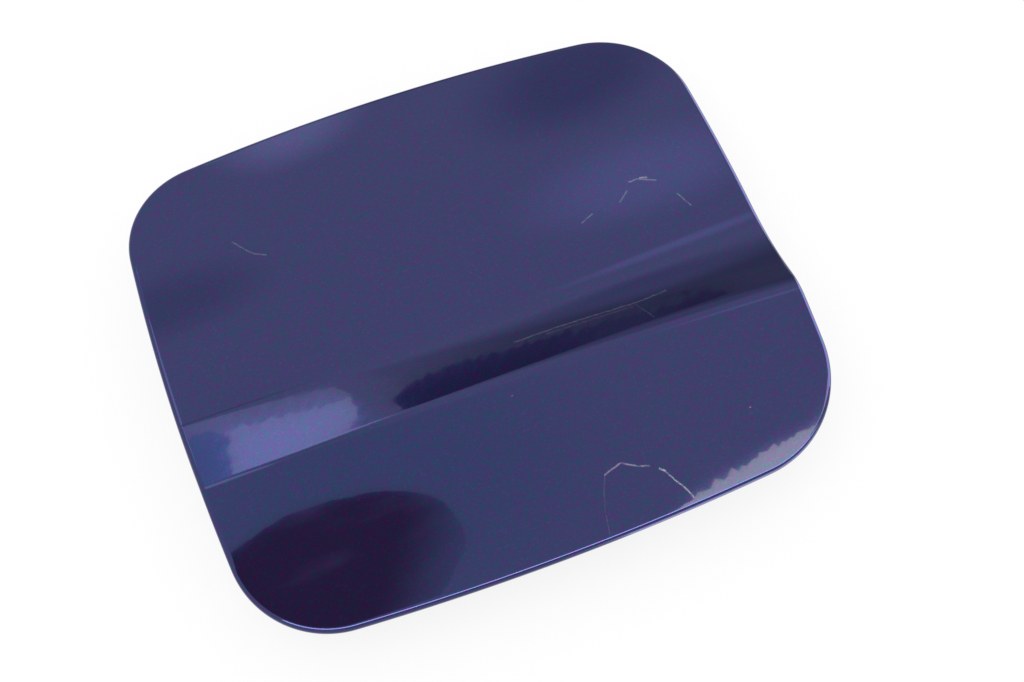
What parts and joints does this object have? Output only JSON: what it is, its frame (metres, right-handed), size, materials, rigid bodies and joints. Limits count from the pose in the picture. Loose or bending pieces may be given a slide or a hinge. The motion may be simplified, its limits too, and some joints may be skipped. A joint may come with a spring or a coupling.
{
  "type": "fuel filler flap",
  "caption": "Rounded-square car fuel filler flap in hemmed sheet steel with a crowned face, a shoulder band, an inner panel, lock catch, rubber buffers and a cap holder.",
  "frame": {"origin": "under the middle of the outline, on the plane of the buffers' feet", "axes": "+X along the shoulder band towards the lock catch, +Y up the car's side, +Z out of the painted face"},
  "size_m": [0.182, 0.1594, 0.028],
  "materials": {
    "body_paint": "dark blue metallic paint under gloss clear coat",
    "inner_paint": "thin body-colour paint, satin",
    "zinc_steel": "zinc plated",
    "black_plastic": "fine moulded grain",
    "mastic": "dull",
    "black_rubber": "dull"
  },
  "bodies": {
    "root": {"outer_skin": "body_paint", "inner_panel": "inner_paint", "hinge_nuts": "zinc_steel", "lock_catch": "zinc_steel", "catch_rivets": "zinc_steel", "cap_holder": "black_plastic", "mastic_pads": "mastic", "buffer_front_upper": "black_rubber", "buffer_front_lower": "black_rubber", "buffer_rear_upper": "black_rubber", "buffer_rear_lower": "black_rubber"}
  },
  "joints": []
}
